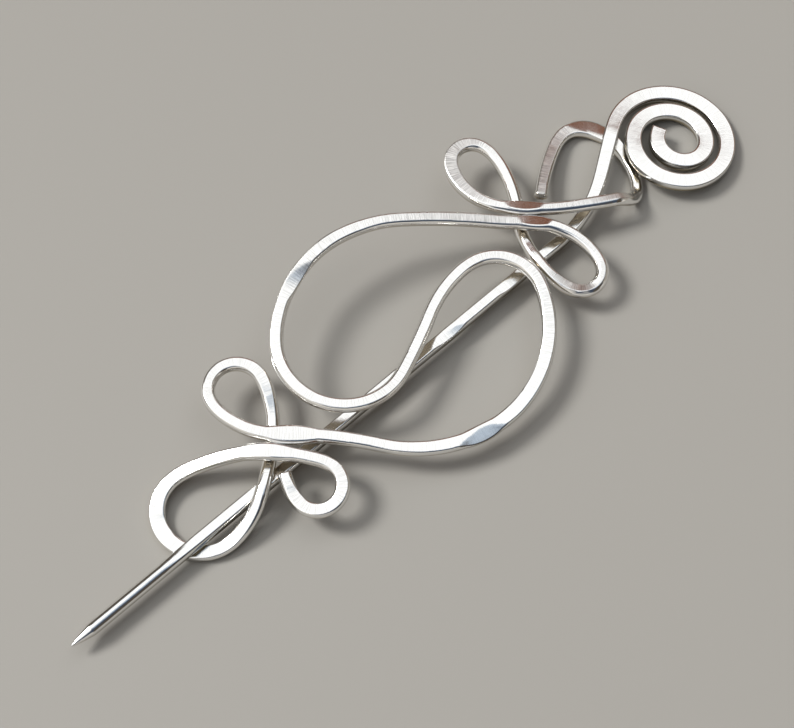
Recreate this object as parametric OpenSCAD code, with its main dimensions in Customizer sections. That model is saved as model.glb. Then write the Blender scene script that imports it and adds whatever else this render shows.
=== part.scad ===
// Shawl pin of hammered silver-coloured wire.
// A domed scroll frame of one bent wire, and a straight stick pin with a spiral head.
// X runs along the stick towards its spiral head, Z is up, the table is Z = 0.
// All sizes are in millimetres and degrees.

/* [Frame wire] */
// Width of the wire where it was hardly hammered
wire_width = 1.8; // [1.4:0.05:2.4]
// Thickness of the wire where it was hardly hammered
wire_thick = 1.65; // [1.2:0.05:2.2]
// How much the hardest hammering widens the wire
spread = 0.5; // [0:0.05:0.8]
// How much the hardest hammering thins the wire
squash = 0.35; // [0:0.05:0.6]

/* [Stick] */
// Radius of the round shaft near the point
shaft_r = 0.9; // [0.7:0.05:1.2]
// Height of the shaft's axis over the table
shaft_z = 2.45; // [2.2:0.05:3]
// Where the point ends, along X
tip_x = -58.9; // [-62:0.1:-52]
// Length of the filed point
point_length = 3.4; // [2:0.1:6]
// Where the round stretch changes to the hammered square one
round_end_x = -44; // [-46:0.5:-42]
// Where the neck starts to bend
neck_x = 27.1; // [26:0.1:34]
// Width of the square stretch across its flats
shaft_square = 1.7; // [1.4:0.05:1.8]
// Roll of the square stretch about its own axis
shaft_roll = -4; // [-20:1:20]

/* [Spiral head] */
// Bend radius of the spiral's first quarter turn
coil_start_r = 8.65; // [6:0.05:10]
// How much tighter each quarter turn is than the one before
coil_step = 0.77; // [0.5:0.01:1]
// Bend radius of the spiral's inner end
eye_r = 3.5; // [2:0.1:5]
// How far the wire turns in that inner end
eye_turn = 198; // [120:2:240]
// Height of the wire's middle where the spiral is highest
coil_high = 3; // [2.5:0.01:3.6]
// How steeply the spiral leans down to the table
coil_lean = 8.9; // [5:0.1:12]
// Width of the hammered wire in the spiral
coil_width = 2.2; // [1.6:0.05:2.6]
// Thickness of the hammered wire in the spiral
coil_thick = 1.4; // [1:0.05:1.8]

/* [Hidden] */
// Length of wire from one cross-section to the next.
step = 1.0;
// Reach over which one bend runs into the next.
blend = 1.2;
// Middle of the whole pin's outline on the table, which becomes the origin.
middle = [0.63, 2.25];
// Places of the columns in the bend tables.
LENGTH = 1;
TURN = 2;
HEIGHT = 3;
FLAT = 4;

// Both halves of the frame's wire start in the middle of the scroll.
// The columns are the bend's name, its length, its turn to the left,
// the height of the wire's middle at its end and how flat it was hammered there.
frame_start = [5.4, 2.65];
frame_heading = 28;
start_height = 6.2;
start_flat = 0.4;
lower_half = [
  ["to the right lobe", 9, -29, 6.1, 0.4],
  ["right crown", 12, -110, 5.7, 0.4],
  ["right side", 19, -65, 3.7, 0.5],
  ["base", 19, -57, 4.3, 0.4],
  ["to the lower knot", 13.5, 14, 6, 0.5],
  ["a outer leg", 10.5, -51, 6.2, 0.3],
  ["a crown", 13, -198, 5.4, 0.5],
  ["a inner leg", 5.5, -20, 4, 0.2],
  ["under the bars", 5, -12, 3.8, 0.2],
  ["over the stick", 5, -5, 4.4, 0.2],
  ["b inner leg", 8, -42, 1, 0.6],
  ["b rim", 10, -92, 0.6, 1],
  ["b turn", 9.5, -103, 2.2, 0.6],
  ["b outer leg", 10.5, -22, 6.1, 0.5],
  ["lower bar", 8.5, -11, 5.2, 0.4],
  ["c crown", 12.5, -222, 3.9, 0.6],
  ["c tail", 4.3, -22, 4.6, 0.2],
];
upper_half = [
  ["to the left lobe", 9.5, -7, 5.9, 0.4],
  ["left turn", 23.5, -152, 8.1, 0.4],
  ["left side", 16.5, -56, 9.7, 0.5],
  ["left crown", 8.5, -24, 9.4, 0.4],
  ["to the upper knot", 15.5, -11, 6, 0.4],
  ["lower bar", 5, 0, 5.8, 0.4],
  ["3 outer leg", 10.5, -58, 4.2, 0.2],
  ["3 crown", 7.5, -149, 3.5, 0.4],
  ["3 inner leg", 6, -27, 4.6, 0.2],
  ["under the bars", 7.5, -32, 3.6, 0.2],
  ["1 outer leg", 7.5, 23, 4.9, 0.2],
  ["1 shoulder", 4, 23, 5.5, 0.3],
  ["1 crown", 7.5, 144, 5.8, 0.4],
  ["1 inner leg", 10, 69, 5.9, 0.4],
  ["upper bar", 10.7, 19, 5.4, 0.4],
  ["2 outer leg", 7.1, 4, 4.6, 0.1],
  ["2 dip", 2.2, 50, 0.7, 0.3],
  ["2 corner", 2, 26, 0.67, 1],
  ["2 rim", 10.4, 52, 0.67, 1],
  ["2 turn", 7.7, 103, 1.3, 0.5],
  ["2 tail", 10.2, 16, 3.2, 0.3],
];

// The stick's neck and spiral have the same columns; the spiral is made by rule.
quarters = 6;
neck_half = concat(
  [["neck bend", 12.6, 33.6, 0, 0.4], ["neck", 8.1, 0, 0, 0.7]],
  [for (i = [0 : quarters - 1])
    let (r = coil_start_r - coil_step * i)
    ["quarter turn", r * PI / 2, -90, 0, 1]],
  [["eye", eye_r * eye_turn * PI / 180, -eye_turn, 0, 0.6]]
);
// The head rises over the corner of the frame's upper petal and leans down to the table.
coil_left = 44.5;
coil_reach = 16;
head_lean = [
  [neck_x, shaft_z],
  [coil_left, coil_high],
  [coil_left + coil_reach, coil_high - coil_reach * tan(coil_lean)]
];

// Wire used up to each bend's end.
function stations(rows) =
  [for (i = 0, s = 0; i <= len(rows); s = s + (i < len(rows) ? rows[i][LENGTH] : 0), i = i + 1) s];

// Heading at each bend's end.
function headings(rows, start) =
  [for (i = 0, h = start; i <= len(rows); h = h + (i < len(rows) ? rows[i][TURN] : 0), i = i + 1) h];

// One column as pairs of station and value, for lookup().
function pairs(rows, first, column) =
  let (s = stations(rows))
  let (v = concat([first], [for (row = rows) row[column]]))
  [for (i = [0 : len(s) - 1]) [s[i], v[i]]];

function heading_pairs(rows, start) =
  let (s = stations(rows))
  let (h = headings(rows, start))
  [for (i = [0 : len(s) - 1]) [s[i], h[i]]];

// A value that runs softly past the corners of its table.
function soft(s, table) =
  (lookup(s - blend, table) + lookup(s, table) + lookup(s + blend, table)) / 3;

// Points along a bent wire: place, width and thickness at every station.
function wire(rows, place, heading, height, flat) =
  let (total = stations(rows)[len(rows)])
  let (n = ceil(total / step))
  let (ds = total / n)
  let (turns = heading_pairs(rows, heading))
  let (rise = pairs(rows, height, HEIGHT))
  let (hammer = pairs(rows, flat, FLAT))
  [for (
    i = 0, x = place[0], y = place[1];
    i <= n;
    x = x + ds * cos(soft((i + 0.5) * ds, turns)),
    y = y + ds * sin(soft((i + 0.5) * ds, turns)),
    i = i + 1)
    [[x, y, soft(i * ds, rise)], soft(i * ds, hammer)]];

function reversed(list) = [for (i = [len(list) - 1 : -1 : 0]) list[i]];
function unit(v) = v / norm(v);

// Tangent of a run of stations at number i.
function tangent(run, i) =
  unit(run[min(i + 1, len(run) - 1)][0] - run[max(i - 1, 0)][0]);

// Rounded flat section: wide flats with soft shoulders, as hammered round wire has.
sides = 12;
function shoulder(v) = sign(v) * pow(abs(v), 0.72);
function ring(run, i, width, thick, roll, size) =
  let (t = tangent(run, i))
  let (side = unit([-t[1], t[0], 0]))
  let (up = cross(t, side))
  [for (k = [0 : sides - 1])
    let (a = (k + 0.5) * 360 / sides)
    let (u = size * width / 2 * shoulder(cos(a)))
    let (v = size * thick / 2 * shoulder(sin(a)))
    run[i][0] + side * (u * cos(roll) - v * sin(roll)) + up * (u * sin(roll) + v * cos(roll))];

// A closed skin over a list of rings.
module skin(rings) {
  n = len(rings);
  points = [for (r = rings) for (p = r) p];
  walls = [for (i = [0 : n - 2]) for (k = [0 : sides - 1])
    let (a = i * sides + k)
    let (b = i * sides + (k + 1) % sides)
    each [[a, b, b + sides], [a, b + sides, a + sides]]];
  caps = [
    [for (k = [sides - 1 : -1 : 0]) k],
    [for (k = [0 : sides - 1]) (n - 1) * sides + k]
  ];
  polyhedron(points = points, faces = [for (f = concat(walls, caps)) reversed(f)], convexity = 12);
}

// Width and thickness of the frame's wire for its hammering.
function frame_width(flat) = wire_width + spread * flat;
function frame_thick(flat) = wire_thick - squash * flat;

module scroll_frame() {
  lower = wire(lower_half, frame_start, frame_heading, start_height, start_flat);
  upper = wire(upper_half, frame_start, frame_heading + 180, start_height, start_flat);
  run = concat(reversed(lower), [for (i = [1 : len(upper) - 1]) upper[i]]);
  last = len(run) - 1;
  color("silver")
  translate([-middle[0], -middle[1], 0])
  skin([for (i = [0 : last])
    let (size = (i == 0 || i == last) ? 0.6 : 1)
    ring(run, i, frame_width(run[i][1]), frame_thick(run[i][1]), 0, size)]);
}

module stick_pin() {
  head = [for (p = wire(neck_half, [neck_x, 0], 0, 0, 0))
    [[p[0][0], p[0][1], lookup(p[0][0], head_lean)], p[1]]];
  last = len(head) - 1;
  color("silver")
  translate([-middle[0], -middle[1], 0]) {
    // The round stretch by the point, where a point guard grips.
    translate([tip_x + point_length, 0, shaft_z])
      rotate([0, 90, 0])
      cylinder(h = round_end_x - tip_x - point_length + 1, r = shaft_r, $fn = 48);
    // The filed point.
    translate([tip_x, 0, shaft_z])
      rotate([0, 90, 0])
      cylinder(h = point_length, r1 = 0.2, r2 = shaft_r, $fn = 48);
    // The hammered square stretch, the neck and the spiral.
    shaft = [for (x = [round_end_x, round_end_x + 2, -20, 0, 20, neck_x - 1]) [[x, 0, shaft_z], 0]];
    run = concat(shaft, head);
    skin([for (i = [0 : len(run) - 1])
      let (j = i - len(shaft))
      let (f = run[i][1])
      let (w = j < 0 ? shaft_square : shaft_square + (coil_width - shaft_square) * f)
      let (h = j < 0 ? shaft_square : shaft_square + (coil_thick - shaft_square) * f)
      let (size = (i == 0 || j == last) ? 0.7 : 1)
      ring(run, i, w, h, j < 0 ? shaft_roll : shaft_roll * (1 - min(1, j / 8)), size)]);
  }
}

scroll_frame();
stick_pin();
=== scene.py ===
import math

import bpy
import numpy as np
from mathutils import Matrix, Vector


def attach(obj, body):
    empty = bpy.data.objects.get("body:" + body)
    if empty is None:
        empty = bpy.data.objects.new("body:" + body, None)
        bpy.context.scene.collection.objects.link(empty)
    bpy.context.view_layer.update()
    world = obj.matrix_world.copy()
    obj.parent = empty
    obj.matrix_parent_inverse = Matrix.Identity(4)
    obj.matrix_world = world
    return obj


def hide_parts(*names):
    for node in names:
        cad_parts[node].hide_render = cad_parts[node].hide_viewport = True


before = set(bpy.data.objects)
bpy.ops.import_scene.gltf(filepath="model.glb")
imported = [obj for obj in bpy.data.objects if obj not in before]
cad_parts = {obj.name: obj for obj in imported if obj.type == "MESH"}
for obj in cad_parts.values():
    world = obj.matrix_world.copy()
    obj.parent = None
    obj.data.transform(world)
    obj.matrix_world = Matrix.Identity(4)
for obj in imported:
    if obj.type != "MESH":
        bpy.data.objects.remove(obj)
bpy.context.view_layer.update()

# Camera.
# The pin was photographed from above, lying on a table, with its spiral at the upper right.
# Azimuth 0 looks along +Y. The picture is 794 pixels wide.
MM = 0.001
camera_azimuth = math.radians(-41.87)
camera_elevation = math.radians(67.0)
camera_distance = 261.0 * MM
camera_aim = Vector((-1.66, -0.10, 0.0)) * MM
picture_width = 794
focal_pixels = 1900
away = Vector((-math.sin(camera_azimuth), math.cos(camera_azimuth), 0.0))
rightwards = Vector((math.cos(camera_azimuth), math.sin(camera_azimuth), 0.0))
camera_data = bpy.data.cameras.new("camera")
camera_data.sensor_width = 36.0
camera_data.lens = focal_pixels / picture_width * camera_data.sensor_width
camera_data.clip_start = 0.01
camera = bpy.data.objects.new("camera", camera_data)
back = Vector((0, 0, math.sin(camera_elevation))) - away * math.cos(camera_elevation)
camera.location = camera_aim + back * camera_distance
camera.rotation_mode = "QUATERNION"
camera.rotation_quaternion = (-back).to_track_quat("-Z", "Y")
bpy.context.scene.collection.objects.link(camera)
bpy.context.scene.camera = camera

# Scroll frame.
# One length of soft silver-coloured wire, bent round pegs into a scroll between two clovers
# of three petals, then hammered on a bench block until its top and underside are flat.

# The bends of both halves, which start in the middle of the scroll. Lengths and heights are
# in millimetres and turns are degrees to the left. Hammering is how far the wire was
# flattened there, tip how many degrees the hammer's face tipped away from the maker, and
# brushed how clearly the file's strokes show.
COLUMNS = ("bend", "length", "turn", "height", "hammering", "tip", "brushed")
frame_first = {"height": 6.2, "hammering": 0.4, "tip": 0.0, "brushed": 0.1}
frame_start = (5.4, 2.65)
frame_heading = 28
lower_half = [
    ("to the right lobe", 9, -29, 6.1, 0.4, 0, 0.2),
    ("right crown", 12, -110, 5.7, 0.4, 0, 0.3),
    ("right side", 19, -65, 3.7, 0.8, 0, 0.05),
    ("base", 19, -57, 4.3, 0.4, 0, 0.1),
    ("to the lower knot", 13.5, 14, 6, 0.5, 0, 0.2),
    ("a outer leg", 10.5, -51, 6.2, 0.3, 0, 0.1),
    ("a crown", 13, -198, 5.4, 0.5, 0, 0.2),
    ("a inner leg", 5.5, -20, 4, 0.2, 0, 0.1),
    ("under the bars", 5, -12, 3.8, 0.2, 0, 0.1),
    ("over the stick", 5, -5, 4.4, 0.2, 0, 0.1),
    ("b inner leg", 8, -42, 1, 0.6, 0, 0.1),
    ("b rim", 10, -92, 0.6, 1, 0, 0.05),
    ("b turn", 9.5, -103, 2.2, 0.6, 0, 0.1),
    ("b outer leg", 10.5, -22, 6.1, 0.5, 0, 0.1),
    ("lower bar", 8.5, -11, 5.2, 0.4, 0, 0.2),
    ("c crown", 12.5, -222, 3.9, 0.6, 0, 0.3),
    ("c tail", 4.3, -22, 4.6, 0.2, 0, 0.1),
]
upper_half = [
    ("to the left lobe", 9.5, -7, 5.9, 0.4, 0, 0.2),
    ("left turn", 23.5, -152, 8.1, 0.4, 0, 0.1),
    ("left side", 8, -27, 8.9, 0.45, 0, 0.3),
    ("left facet", 6, -20.5, 9.5, 0.5, 0, 0.8),
    ("left shoulder", 2.5, -8.5, 9.7, 0.5, 0, 0.1),
    ("left crown", 8.5, -24, 9.4, 0.4, 0, 0.4),
    ("to the upper knot", 15.5, -11, 6, 0.4, 2, 0.7),
    ("lower bar", 5, 0, 5.8, 0.3, 4, 0.1),
    ("3 outer leg", 10.5, -58, 4.2, 0.1, 8, 0.3),
    ("3 crown", 7.5, -149, 3.5, 0.4, 15, 0.8),
    ("3 inner leg", 6, -27, 4.6, 0.1, 0, 0.2),
    ("under the bars", 7.5, -32, 3.6, 0.2, 0, 0.1),
    ("1 outer leg", 7.5, 23, 4.9, 0.1, 0, 0.1),
    ("1 shoulder", 4, 23, 5.5, 0.2, 2, 0.4),
    ("1 crown", 7.5, 144, 5.8, 0.8, 7, 1.0),
    ("1 inner leg", 10, 69, 5.9, 0.15, 0, 0.1),
    ("upper bar", 10.7, 19, 5.4, 0.25, 2, 0.5),
    ("2 outer leg", 7.1, 4, 4.6, 0.3, 11, 0.7),
    ("2 dip", 2.2, 50, 0.78, 0.1, 2, 0.2),
    ("2 corner", 2, 26, 0.76, 0.1, 0, 0.1),
    ("2 rim", 10.4, 52, 0.67, 1, 4, 0.1),
    ("2 turn", 7.7, 103, 1.3, 0.5, 0, 0.6),
    ("2 tail", 10.2, 16, 3.2, 0.3, 0, 1.0),
]
# Single heavy blows, each of which left a bright facet: the half and the bend, how far
# along it in millimetres, half the facet's length, its depth, how many degrees it tips
# away from the maker and how much it spread the wire.
heavy_blows = [
    ("upper", "lower bar", 4.7, 2.2, 0.25, 13, 0.4),
    ("upper", "upper bar", 2.9, 2.6, 0.18, 12, 0.3),
    ("upper", "2 turn", 1.8, 2.6, 0.22, 13, 0.4),
    ("upper", "left facet", 0.8, 2.6, 0.21, -33, 0.2),
    ("lower", "base", 5.9, 2.6, 0.23, -19, 0.4),
    ("lower", "lower bar", 1.0, 3.4, 0.10, 1, 0.45),
    ("lower", "to the lower knot", 12.5, 3.4, 0.10, 1, 0.75),
]
# The wire where it was hardly hammered, and how much full hammering widens and thins it.
wire_width, wire_thick = 1.8, 1.65
spread, squash = 0.5, 0.35
# The underside flat's share of the wire's width, for how hard it was hammered.
flat_share = np.array([(0, 0.1), (0.2, 0.3), (0.5, 0.7), (1, 0.9)])
# From one station on the wire to the next, and the reach of one bend into its neighbours.
station_step = 1.0
bend_blend = 1.2
# A whole number of steps stays whole in spite of rounding.
rounding_hair = 1e-9
# The middle of the pin's outline on the table, which is the model's origin.
pin_middle = np.array([0.63, 2.25, 0.0])


def softly(s, marks, values):
    """A column's value at s, run softly past the corners of its table."""
    around = (s - bend_blend, s, s + bend_blend)
    return sum(np.interp(at, marks, values) for at in around) / len(around)


def column_of(bends, name):
    """One column of a table of bends."""
    return [bend[COLUMNS.index(name)] for bend in bends]


def running_total(steps):
    """The total before the first step and after each."""
    return np.concatenate([[0], np.cumsum(steps)])


def bent_wire(bends, place, heading, first):
    """Places of a bent wire's middle and its other columns, at stations about 1 mm apart."""
    marks = running_total(column_of(bends, "length"))
    count = math.ceil(marks[-1] / station_step - rounding_hair)
    gap = marks[-1] / count
    headings = heading + running_total(column_of(bends, "turn"))
    aim = np.radians(softly((np.arange(count) + 0.5) * gap, marks, headings))
    s = np.arange(count + 1) * gap
    wire = {name: softly(s, marks, np.array([first[name]] + column_of(bends, name)))
            for name in ("height", "hammering", "tip", "brushed")}
    x = place[0] + running_total(gap * np.cos(aim))
    y = place[1] + running_total(gap * np.sin(aim))
    wire["place"] = np.stack([x, y, wire.pop("height")], axis=1)
    return wire


def way_along(wire):
    """The way from a wire's start to each of its stations."""
    return running_total(np.linalg.norm(np.diff(wire["place"], axis=0), axis=1))


def joined(*wires):
    """One wire from several that follow each other end to end."""
    return {name: np.concatenate([wire[name] for wire in wires]) for name in wires[0]}


def part_of(wire, part):
    """The stations of a wire that a slice picks out."""
    return {name: values[part] for name, values in wire.items()}


def curve_through(values, at):
    """A smooth curve through the stations' values, read at fractions of a station."""
    first = 2 * values[:1] - values[1:2]
    last = 2 * values[-1:] - values[-2:-1]
    padded = np.concatenate([first, values, last])
    k = np.clip(np.floor(at).astype(int), 0, len(values) - 2)
    t = (at - k).reshape((-1,) + (1,) * (values.ndim - 1))
    p0, p1, p2, p3 = (padded[k + i] for i in range(4))
    return 0.5 * (2 * p1 + (p2 - p0) * t + (2 * p0 - 5 * p1 + 4 * p2 - p3) * t ** 2
                  + (3 * p1 - p0 - 3 * p2 + p3) * t ** 3)


def unit(vectors):
    return vectors / np.linalg.norm(vectors, axis=-1, keepdims=True)


# Ordinary hammer blows: the least and the most wire from one to the next, how deep the
# deepest goes, and how many degrees one may lie askew, along the wire and across it.
least_gap, most_gap = 2.0, 4.6
deepest_blow = 0.035
most_pitch, most_roll = 1.0, 2.2
# The first blows fall before the wire's start, so that both ends are covered.
lead_in, spare_blows = 6, 4
# Beyond its own stretch a blow's face curves up by the distance squared over this.
face_curve = 3.0


def hammer_blows(length, strength, seed):
    """Where each blow fell along the wire, how deep and how askew, from a seeded draw."""
    draw = np.random.default_rng(seed)
    gaps = draw.uniform(least_gap, most_gap, int(length / least_gap) + spare_blows)
    return {
        "centre": np.cumsum(gaps) - gaps / 2 - lead_in,
        "half": gaps / 2,
        "depth": strength * draw.uniform(0, deepest_blow, len(gaps)),
        "pitch": strength * np.tan(np.radians(draw.uniform(-most_pitch, most_pitch, len(gaps)))),
        "roll": strength * np.tan(np.radians(draw.uniform(-most_roll, most_roll, len(gaps)))),
    }


def struck(s, across, blows):
    """How far the hammered face lies over its mean level: shallow scoops with crisp ridges."""
    near = np.clip(np.searchsorted(blows["centre"], s), 1, len(blows["centre"]) - 2)
    faces = []
    for k in (near - 1, near, near + 1):
        off = s - blows["centre"][k]
        past = np.maximum(0, np.abs(off) - blows["half"][k])
        faces.append(blows["pitch"][k] * off - blows["roll"][k] * across
                     - blows["depth"][k] + past ** 2 / face_curve)
    return np.minimum.reduce(faces)


# Places round one section: fractions across the flats, and down the rounded sides.
flat_fractions = np.array([1, 0.8, 0.4, 0, -0.4, -0.8, -1])
side_fractions = np.array([0.12, 0.28, 0.42, 0.58, 0.75, 0.93])
under_fractions = np.array([-1, -0.93, 0, 0.93, 1])
# How often the top flat's edges are corrected, and how narrow a tipped flat may become.
edge_rounds = 6
least_flat = 0.02


def hammered_section(s, width, thick, tip, hammering, share, blows, boxed=0.0, heavy=()):
    """Offsets across and up of each ring's points, and which of them lie on a flat.

    The section is a round bar's, cut by the hammered face above and the block below, and by
    the sides too where the bar was boxed square. Share is the underside flat's part of the width.
    """
    half_w, half_t = width / 2, thick / 2
    bulge = half_t / np.sqrt(1 - share ** 2)
    reach = half_w / np.sqrt(1 - boxed ** 2)
    slope = np.tan(np.radians(tip))
    flat = share * half_w

    def top(across):
        faces = [half_t - slope * across + struck(s, across, blows) * hammering ** 0.5]
        for centre, half, depth, heavy_tip in heavy:
            fall = half_t - depth * (1 - ((s - centre) / half) ** 2)
            faces.append(fall - np.tan(np.radians(heavy_tip)) * across)
        return np.minimum.reduce(faces)

    edges = []
    for side in (1, -1):
        edge = side * flat
        for _ in range(edge_rounds):
            edge = side * reach * np.sqrt(np.maximum(least_flat, 1 - (top(edge) / bulge) ** 2))
        edges.append(edge)
    left, right = edges
    mid, half_flat = (left + right) / 2, (left - right) / 2
    ring = [(mid + half_flat * f, top(mid + half_flat * f), 1.0) for f in flat_fractions]
    under = -np.arcsin(half_t / bulge)
    for f in side_fractions:
        start = np.pi - np.arcsin(np.clip(top(right) / bulge, -1, 1))
        turn = start + (np.pi - under - start) * f
        ring.append((np.maximum(reach * np.cos(turn), -half_w), bulge * np.sin(turn), 0.0))
    ring += [(flat * f, -half_t + 0 * flat, 1.0) for f in under_fractions]
    for f in side_fractions:
        start = np.arcsin(np.clip(top(left) / bulge, -1, 1))
        turn = under + (start - under) * f
        ring.append((np.minimum(reach * np.cos(turn), half_w), bulge * np.sin(turn), 0.0))
    across = np.stack([point[0] for point in ring], axis=1)
    up = np.stack([point[1] for point in ring], axis=1)
    return across, up, np.array([point[2] for point in ring])


# How far the file rounded an end: 1 would close the section there to a point.
end_closing = 0.92


def end_sizes(s, length, cuts):
    """How the section shrinks at each end: cuts holds the radius that the file gave it."""
    size = np.ones(len(s))
    for depth, radius in ((s, cuts[0]), (length - s, cuts[1])):
        near = np.clip(depth / radius, 0, 1)
        size *= np.sqrt(1 - (1 - near) ** 2 * end_closing)
    return size


# Where rings lie: closer and closer over the last stretch at each end, else evenly.
near_end = np.array([0, 0.03, 0.08, 0.15, 0.25, 0.38, 0.52])
end_stretch = 0.7
ring_step = 0.22


def sweep(name, wire, section, cuts, roll=0.0):
    """A closed mesh of rings round a wire's middle, with its own measures kept as attributes."""
    marks = way_along(wire)
    length = marks[-1]
    s = np.concatenate([near_end, np.arange(end_stretch, length - end_stretch, ring_step),
                        length - near_end[::-1]])
    at = np.interp(s, marks, np.arange(len(marks)))
    fine = {key: curve_through(values, at) for key, values in wire.items()}
    ahead = unit(np.gradient(fine["place"], s, axis=0))
    side = unit(np.stack([-ahead[:, 1], ahead[:, 0], 0 * s], axis=1))
    up = np.cross(ahead, side)
    rolls = np.broadcast_to(roll, len(marks))
    roll_at = np.radians(np.interp(at, np.arange(len(rolls)), rolls))[:, None]
    side, up = (side * np.cos(roll_at) + up * np.sin(roll_at),
                up * np.cos(roll_at) - side * np.sin(roll_at))
    across, rise, flat = section(s, fine, side)
    size = end_sizes(s, length, cuts)[:, None]
    points = (fine["place"][:, None] + side[:, None] * (across * size)[..., None]
              + up[:, None] * (rise * size)[..., None] - pin_middle) * MM
    rings, sides = across.shape
    ring_at, k = np.meshgrid(np.arange(rings - 1), np.arange(sides), indexing="ij")
    a = ring_at * sides + k
    b = ring_at * sides + (k + 1) % sides
    walls = np.stack([a, a + sides, b + sides, b], axis=-1).reshape(-1, 4)
    caps = [list(range(sides)), [(rings - 1) * sides + i for i in reversed(range(sides))]]
    mesh = bpy.data.meshes.new(name)
    mesh.from_pydata(points.reshape(-1, 3).tolist(), [], walls.tolist() + caps)
    mesh.polygons.foreach_set("use_smooth", [True] * len(walls) + [False, False])
    girth = np.cumsum(np.hypot(np.diff(across, axis=1, prepend=across[:, :1]),
                               np.diff(rise, axis=1, prepend=rise[:, :1])), axis=1)
    measures = {
        "along": np.repeat(s, sides),
        "girth": girth.ravel(),
        "flat": np.tile(flat, rings),
        "brushed": np.repeat(fine["brushed"], sides),
        "low": ((rise.max(axis=1)[:, None] - rise) / np.ptp(rise, axis=1)[:, None]).ravel(),
    }
    for key, values in measures.items():
        attribute = mesh.attributes.new(key, "FLOAT", "POINT")
        attribute.data.foreach_set("value", values.astype(np.float32))
    mesh.validate()
    piece = bpy.data.objects.new(name, mesh)
    bpy.context.scene.collection.objects.link(piece)
    return piece


class Value:
    """A shader socket that takes part in plain sums; numbers alone stay in Python."""

    def __init__(self, shader, socket):
        self.shader, self.socket = shader, socket

    def _sum(self, operation, *terms):
        return self.shader.node("ShaderNodeMath", {"operation": operation}, *terms)

    def __add__(self, other):
        return self._sum("ADD", self, other)

    def __radd__(self, other):
        return self._sum("ADD", other, self)

    def __sub__(self, other):
        return self._sum("SUBTRACT", self, other)

    def __rsub__(self, other):
        return self._sum("SUBTRACT", other, self)

    def __mul__(self, other):
        return self._sum("MULTIPLY", self, other)

    def __rmul__(self, other):
        return self._sum("MULTIPLY", other, self)


class Shader:
    """A node tree that is written as expressions."""

    def __init__(self, owner):
        owner.use_nodes = True
        self.tree = owner.node_tree
        self.tree.nodes.clear()

    def node(self, kind, settings=None, *values, out=0, **named):
        """Adds any node: its settings first, then its sockets' values or links, by order or name.

        A socket that is given None keeps its own value.
        """
        made = self.tree.nodes.new(kind)
        for key, setting in (settings or {}).items():
            setattr(made, key, setting)
        sockets = list(enumerate(values)) + [(key.replace("_", " "), v) for key, v in named.items()]
        for key, value in sockets:
            if isinstance(value, Value):
                self.tree.links.new(value.socket, made.inputs[key])
            elif value is not None:
                made.inputs[key].default_value = value
        return Value(self, made.outputs[out]) if made.outputs else made

    def attribute(self, name):
        return self.node("ShaderNodeAttribute", {"attribute_name": name}, out="Fac")

    def noise(self, x, y, z, detail=2.0, roughness=0.5):
        """Smooth noise from 0 to 1 at a place whose three measures may each be stretched."""
        place = self.node("ShaderNodeCombineXYZ", None, x, y, z)
        return self.node("ShaderNodeTexNoise", None, Vector=place, Scale=1.0, Detail=detail,
                         Roughness=roughness, out="Fac")

    def mix(self, share, first, second):
        """A colour between two others, whose sockets follow five that a colour doesn't use."""
        passed = [None] * 5
        return self.node("ShaderNodeMix", {"data_type": "RGBA"}, share, *passed, first, second, out=2)

    def between(self, value, low, high):
        """Runs smoothly from 0 at low to 1 at high."""
        smooth = {"interpolation_type": "SMOOTHSTEP"}
        return self.node("ShaderNodeMapRange", smooth, value, low, high, 0.0, 1.0)


bright_metal = (0.91, 0.91, 0.90)
# What is left of the metal's brightness in a stroke, and the millimetres that a mark of
# height 1 stands proud.
stroke_tone = 0.45
mark_height = 0.004


def hammered_metal(name, tone, tarnish_and_painted_shade, seed):
    """Bright wire: flats with fine file and emery strokes across, sides left smooth and round.

    Each noise has its repeats per millimetre along the wire and round it. The last tone given
    is what the lower part of each section darkens to: partly tarnish, partly painted shade and
    painted reflection of the table beneath.
    """
    material = bpy.data.materials.new(name)
    shader = Shader(material)
    along, girth = shader.attribute("along"), shader.attribute("girth")
    flat, brushed = shader.attribute("flat"), shader.attribute("brushed")
    strokes = shader.noise(along * 10.0, girth * 0.4, seed, detail=3.0, roughness=0.65)
    hairs = shader.noise(along * 26.0, girth * 1.2, seed + 5.0, detail=2.0, roughness=0.6)
    draw_lines = shader.noise(along * 0.25, girth * 9.0, seed + 9.0, detail=3.0)
    dimples = shader.noise(along * 0.9, girth * 1.1, seed + 13.0, detail=1.0)
    marks = flat * (0.10 + 0.90 * brushed)
    height = strokes * marks * 5.0 + hairs * marks * 1.6 + draw_lines * 0.35 + dimples * 2.5
    bump = shader.node("ShaderNodeBump", None, Strength=1.0, Distance=mark_height * MM, Height=height)
    dull = tuple(stroke_tone * part for part in tone)
    wear = shader.between(strokes, 0.34, 0.64) * marks
    colour = shader.mix(wear, (*tone, 1), (*dull, 1))
    # Painted shade: the lower part of each section runs to a warm dark tone, partly tarnish and
    # partly painted shade and reflection of the table.
    colour = shader.mix(shader.between(shader.attribute("low"), 0.25, 0.7), colour, (*tarnish_and_painted_shade, 1))
    rough = 0.09 + 0.04 * dimples + marks * 0.30
    metal = shader.node("ShaderNodeBsdfPrincipled", None, Base_Color=colour, Metallic=1.0,
                        Roughness=rough, Normal=bump)
    shader.node("ShaderNodeOutputMaterial", None, metal)
    return material


def frame_section(s, fine, side):
    """The frame's section: the hammer's face tips away from the maker, whatever the heading."""
    faces_away = side @ np.array(away)
    width = wire_width + spread * fine["hammering"]
    for centre, half, _, _, widening in frame_heavy:
        width = width + widening * np.maximum(0, 1 - ((s - centre) / half) ** 2)
    thick = wire_thick - squash * fine["hammering"]
    heavy = [(centre, half, depth, heavy_tip * faces_away)
             for centre, half, depth, heavy_tip, _ in frame_heavy]
    share = np.interp(fine["hammering"], flat_share[:, 0], flat_share[:, 1])
    return hammered_section(s, width, thick, fine["tip"] * faces_away, fine["hammering"], share,
                            frame_blows, heavy=heavy)


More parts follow.
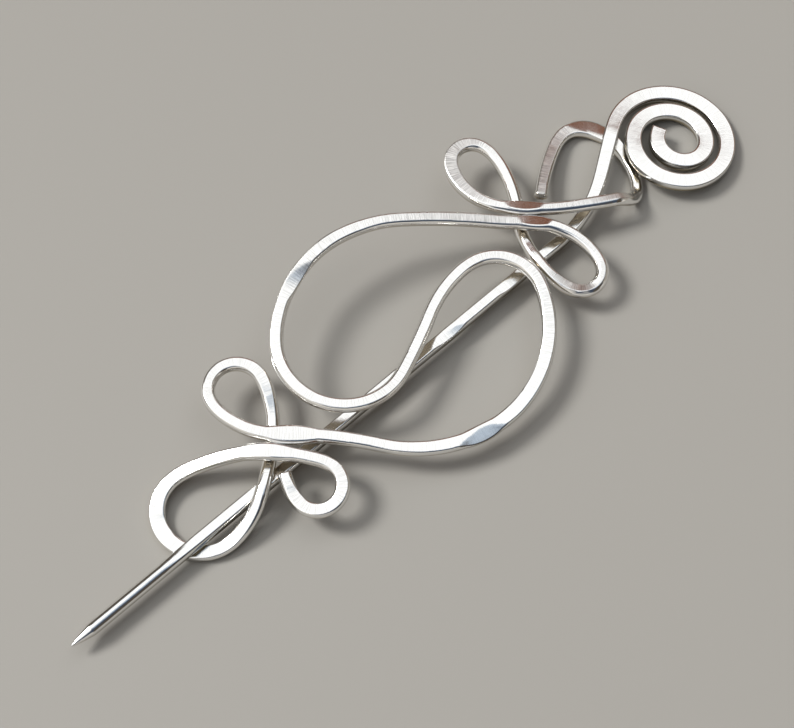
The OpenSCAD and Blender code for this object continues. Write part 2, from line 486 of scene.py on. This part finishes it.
lower = bent_wire(lower_half, frame_start, frame_heading, frame_first)
upper = bent_wire(upper_half, frame_start, frame_heading + 180, frame_first)
frame_wire = joined(part_of(lower, slice(None, None, -1)), part_of(upper, slice(1, None)))
frame_blows = hammer_blows(length=420, strength=1.0, seed=4)
# Where each heavy blow fell on the whole wire. The table of bends has the way along the
# wire seen from above, and the sweep has the true way, which also climbs and falls.
middle_along = way_along(lower)[-1]
frame_heavy = []
for half_name, bend_name, into, half_length, depth, heavy_tip, widening in heavy_blows:
    bends, wire, sense = (upper_half, upper, 1) if half_name == "upper" else (lower_half, lower, -1)
    marks = running_total(column_of(bends, "length"))
    level_way = marks[column_of(bends, "bend").index(bend_name)] + into
    climbing = way_along(wire)
    way = np.interp(level_way, np.linspace(0, marks[-1], len(climbing)), climbing)
    frame_heavy.append((middle_along + sense * way, half_length, depth, heavy_tip, widening))
scroll = sweep("scroll_frame_wire", frame_wire, frame_section, cuts=(0.3, 0.3))
# The frame's lower sides darken to this warm tone: partly tarnish, partly painted shade and
# reflection of the table.
frame_metal = hammered_metal("hammered frame wire", bright_metal, tarnish_and_painted_shade=(0.50, 0.43, 0.33), seed=3.0)
scroll.data.materials.append(frame_metal)
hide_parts("scroll_frame")
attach(scroll, "frame")

# Stick.
# A straight length of the same wire: round and filed to a point at one end, hammered
# square under the scroll, then bent aside and coiled flat into a spiral head.
shaft_r = 0.9
shaft_z = 2.45
tip_x = -58.9
point_length = 3.4
round_end_x = -44.0
neck_x = 27.1
shaft_square = 1.7
shaft_roll = -4.0
coil_start_r, coil_step, quarters = 8.65, 0.77, 6
eye_r, eye_turn = 3.5, 198.0
coil_width, coil_thick = 2.2, 1.4
# The head rises over the corner of the frame's upper petal and leans down to the table.
coil_left, coil_reach, coil_high, coil_lean = 44.5, 16.0, 3.0, 8.9
coil_slope = math.tan(math.radians(coil_lean))
head_lean = np.array([
    (neck_x, shaft_z),
    (coil_left, coil_high),
    (coil_left + coil_reach, coil_high - coil_reach * coil_slope),
])
shaft_brushed, coil_brushed = 0.1, 0.08
stick_first = {"height": 0.0, "hammering": 0.0, "tip": 0.0, "brushed": shaft_brushed}
head_bends = [
    ("neck bend", 12.6, 33.6, 0, 0.8, 0, shaft_brushed),
    ("neck", 8.1, 0, 0, 1, 0, shaft_brushed),
]
for quarter in range(quarters):
    quarter_r = coil_start_r - coil_step * quarter
    head_bends.append(("quarter turn", quarter_r * math.pi / 2, -90, 0, 1.4, 0, coil_brushed))
head_bends.append(("eye", eye_r * math.radians(eye_turn), -eye_turn, 0, 1.2, 0, coil_brushed))
head = bent_wire(head_bends, (neck_x, 0.0), 0.0, stick_first)
head["place"][:, 2] = np.interp(head["place"][:, 0], head_lean[:, 0], head_lean[:, 1])
shaft_x = np.arange(tip_x, neck_x - station_step / 2, station_step)
shaft = {name: np.zeros(len(shaft_x)) for name in ("hammering", "tip", "brushed")}
shaft["brushed"] += shaft_brushed
shaft["place"] = np.stack([shaft_x, 0 * shaft_x, shaft_z + 0 * shaft_x], axis=1)
stick_wire = joined(shaft, head)
stick_blows = hammer_blows(length=240, strength=0.05, seed=9)
# Two heavy blows on the shaft: how far from the point, half the facet's length, its depth
# and how many degrees it tips.
stick_heavy = [(65.2, 1.9, 0.13, -17), (76.6, 1.6, 0.11, -16)]
# How blunt the point is, and how it swells: below 1 it grows stout early.
point_blunt, point_swell = 0.15, 0.7
# The way over which the round stick becomes square, how square it is, and the flats' share
# of its width: on the shaft, how much hammering adds, and at most.
squaring_length = 6.0
shaft_boxed = 0.55
shaft_share, added_share, most_share = 0.62, 0.26, 0.92
# Blows show on the stick as on wire that was hammered at least this much.
least_struck = 0.5


def stick_section(s, fine, side):
    """The stick's section: a filed point, then round, then square, then flat in the spiral."""
    x = fine["place"][:, 0]
    on_shaft = s < neck_x - tip_x
    hammering = np.maximum(fine["hammering"], 0)
    square = np.clip((x - round_end_x) / squaring_length, 0, 1) * on_shaft + (1 - on_shaft)
    filed = np.clip((s + point_blunt) / point_length, 0, 1) ** point_swell
    filed = filed * on_shaft + (1 - on_shaft)
    width = shaft_square + (coil_width - shaft_square) * hammering
    thick = shaft_square + (coil_thick - shaft_square) * hammering
    boxed = shaft_boxed * np.clip(1 - 2 * hammering, 0, 1)
    share = np.minimum(shaft_share + added_share * hammering, most_share)
    struck_as = np.maximum(hammering, least_struck)
    across, rise, flat = hammered_section(s, width, thick, fine["tip"], struck_as, share,
                                          stick_blows, boxed, stick_heavy)
    angle = np.arctan2(rise, across)
    round_across, round_rise = shaft_r * np.cos(angle), shaft_r * np.sin(angle)
    squared, filed = square[:, None], filed[:, None]
    return ((round_across + (across - round_across) * squared) * filed,
            (round_rise + (rise - round_rise) * squared) * filed, flat)


# The shaft's own roll fades out past the neck's start, over so many stations, and the
# spiral's flats then follow half of its lean, which changes at its highest place.
roll_fade = 8
crest_half = 2.0
lean_followed = 0.5
past_shaft = np.arange(len(stick_wire["tip"])) - len(shaft_x)
fade = np.clip(1 - past_shaft / roll_fade, 0, 1)
rise_by_x = (coil_high - shaft_z) / (coil_left - neck_x)
lean_by_x = np.interp(stick_wire["place"][:, 0], (coil_left - crest_half, coil_left + crest_half),
                      (rise_by_x, -coil_slope))
stick_ahead = unit(np.gradient(stick_wire["place"], axis=0))
coil_roll = np.degrees(np.arctan(-lean_followed * lean_by_x * stick_ahead[:, 1]))
stick_roll = shaft_roll * fade + coil_roll * (1 - fade)
stick = sweep("stick_pin_wire", stick_wire, stick_section, cuts=(0.05, 0.12), roll=stick_roll)
# The stick's lower sides darken to this warm tone: partly tarnish, partly painted shade and
# reflection of the table.
stick_metal = hammered_metal("hammered stick wire", bright_metal, tarnish_and_painted_shade=(0.32, 0.27, 0.18), seed=21.0)
stick.data.materials.append(stick_metal)
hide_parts("stick_pin")
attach(stick, "stick")

# Table top.
# A plain pale surface, larger than any view of the pin.
table_half = 6.0
table_mesh = bpy.data.meshes.new("table_top")
table_corners = [(x * table_half, y * table_half, 0) for x, y in ((-1, -1), (1, -1), (1, 1), (-1, 1))]
table_mesh.from_pydata(table_corners, [], [(0, 1, 2, 3)])
table_top = bpy.data.objects.new("table_top", table_mesh)
bpy.context.scene.collection.objects.link(table_top)
table_paint = bpy.data.materials.new("pale table")
table_shader = Shader(table_paint)
table_finish = table_shader.node("ShaderNodeBsdfPrincipled", None,
                                 Base_Color=(0.315, 0.305, 0.285, 1), Roughness=0.6)
table_shader.node("ShaderNodeOutputMaterial", None, table_finish)
table_mesh.materials.append(table_paint)

# Studio light.
# One broad lamp from the left, and a soft room for bright metal to mirror: a white panel over
# the far side and a white window to the west, a brick wall and a dark doorway beyond them,
# a blue-grey ceiling, dark cloth to the south and a pale skirting under it.
lamp_data = bpy.data.lights.new("key lamp", "SUN")
lamp_data.energy = 2.6
lamp_data.angle = math.radians(17)
lamp_data.color = (1.0, 0.98, 0.94)
lamp = bpy.data.objects.new("key lamp", lamp_data)
# For each metre up, the light comes this far from the far side and this far from the left.
lamp_far, lamp_left = 0.208, 0.836
lamp_from = away * lamp_far - rightwards * lamp_left + Vector((0, 0, 1))
lamp.rotation_mode = "QUATERNION"
lamp.rotation_quaternion = lamp_from.to_track_quat("Z", "Y")
bpy.context.scene.collection.objects.link(lamp)
room = bpy.data.worlds.new("room")
bpy.context.scene.world = room
room_shader = Shader(room)
direction = room_shader.node("ShaderNodeTexCoord", out="Generated")


def towards(axis):
    """How far the direction looked in points along an axis, from -1 to 1."""
    return room_shader.node("ShaderNodeVectorMath", {"operation": "DOT_PRODUCT"},
                            direction, tuple(axis), out="Value")


def larger(first, second):
    """The larger of two shares, for a surface that turns a corner."""
    return room_shader.node("ShaderNodeMath", {"operation": "MAXIMUM"}, first, second)


north, east, height_up = towards(away), towards(rightwards), towards((0, 0, 1))
room_colours = {
    "wall": (0.36, 0.33, 0.29, 1),
    "skirting": (0.70, 0.66, 0.60, 1),
    "doorway": (0.08, 0.065, 0.05, 1),
    "panel": (1.2, 1.2, 1.19, 1),
    "brick": (0.20, 0.085, 0.05, 1),
    "ceiling": (0.50, 0.58, 0.68, 1),
    "cloth": (0.05, 0.065, 0.095, 1),
}
# Each surface is a share from 0 to 1 of the directions looked in, with soft edges.
# The panel and the far side stand a little askew to the picture, along this measure.
outward = north - 0.3 * east
south, west = -1 * north, -1 * east
between = room_shader.between
panel = between(outward, -0.08, -0.03) * (1 - between(outward, 0.61, 0.65))
panel = panel * (1 - between(east, 0.5, 0.6)) * between(height_up, 0.35, 0.42)
far_side = between(outward, 0.61, 0.65) * between(height_up, 0.08, 0.16)
east_side = between(east, 0.5, 0.6) * between(height_up, 0.08, 0.16)
east_side = east_side * (1 - between(east, 0.8, 0.88))
corner = between(north, 0.42, 0.52)
eastern = between(east, -0.25, -0.1)
doorway = larger(far_side * (1 - eastern), east_side * (1 - corner))
brick = larger(far_side * eastern, east_side * corner)
ceiling = between(height_up, 0.6, 0.8)
cloth = between(south, 0.16, 0.28) * between(height_up, 0.24, 0.34) * between(east, -0.34, -0.2)
cloth = cloth * (1 - 0.4 * between(south, 0.79, 0.87))
window = between(west, -0.07, 0.02) * between(north, -0.6, -0.45) * between(height_up, 0.3, 0.38)
window = window * (1 - between(north, 0.3, 0.45))
skirting = between(south, 0.1, 0.3) * between(height_up, 0.04, 0.1) * (1 - ceiling)
surfaces = [
    (ceiling, "ceiling"),
    (skirting, "skirting"),
    (cloth, "cloth"),
    (window, "panel"),
    (panel, "panel"),
    (doorway, "doorway"),
    (brick, "brick"),
]
shade = room_colours["wall"]
for share, surface in surfaces:
    shade = room_shader.mix(share, shade, room_colours[surface])
glow = room_shader.node("ShaderNodeBackground", None, shade, 1.0)
room_shader.node("ShaderNodeOutputWorld", None, glow)
bpy.context.scene.view_settings.view_transform = "Standard"
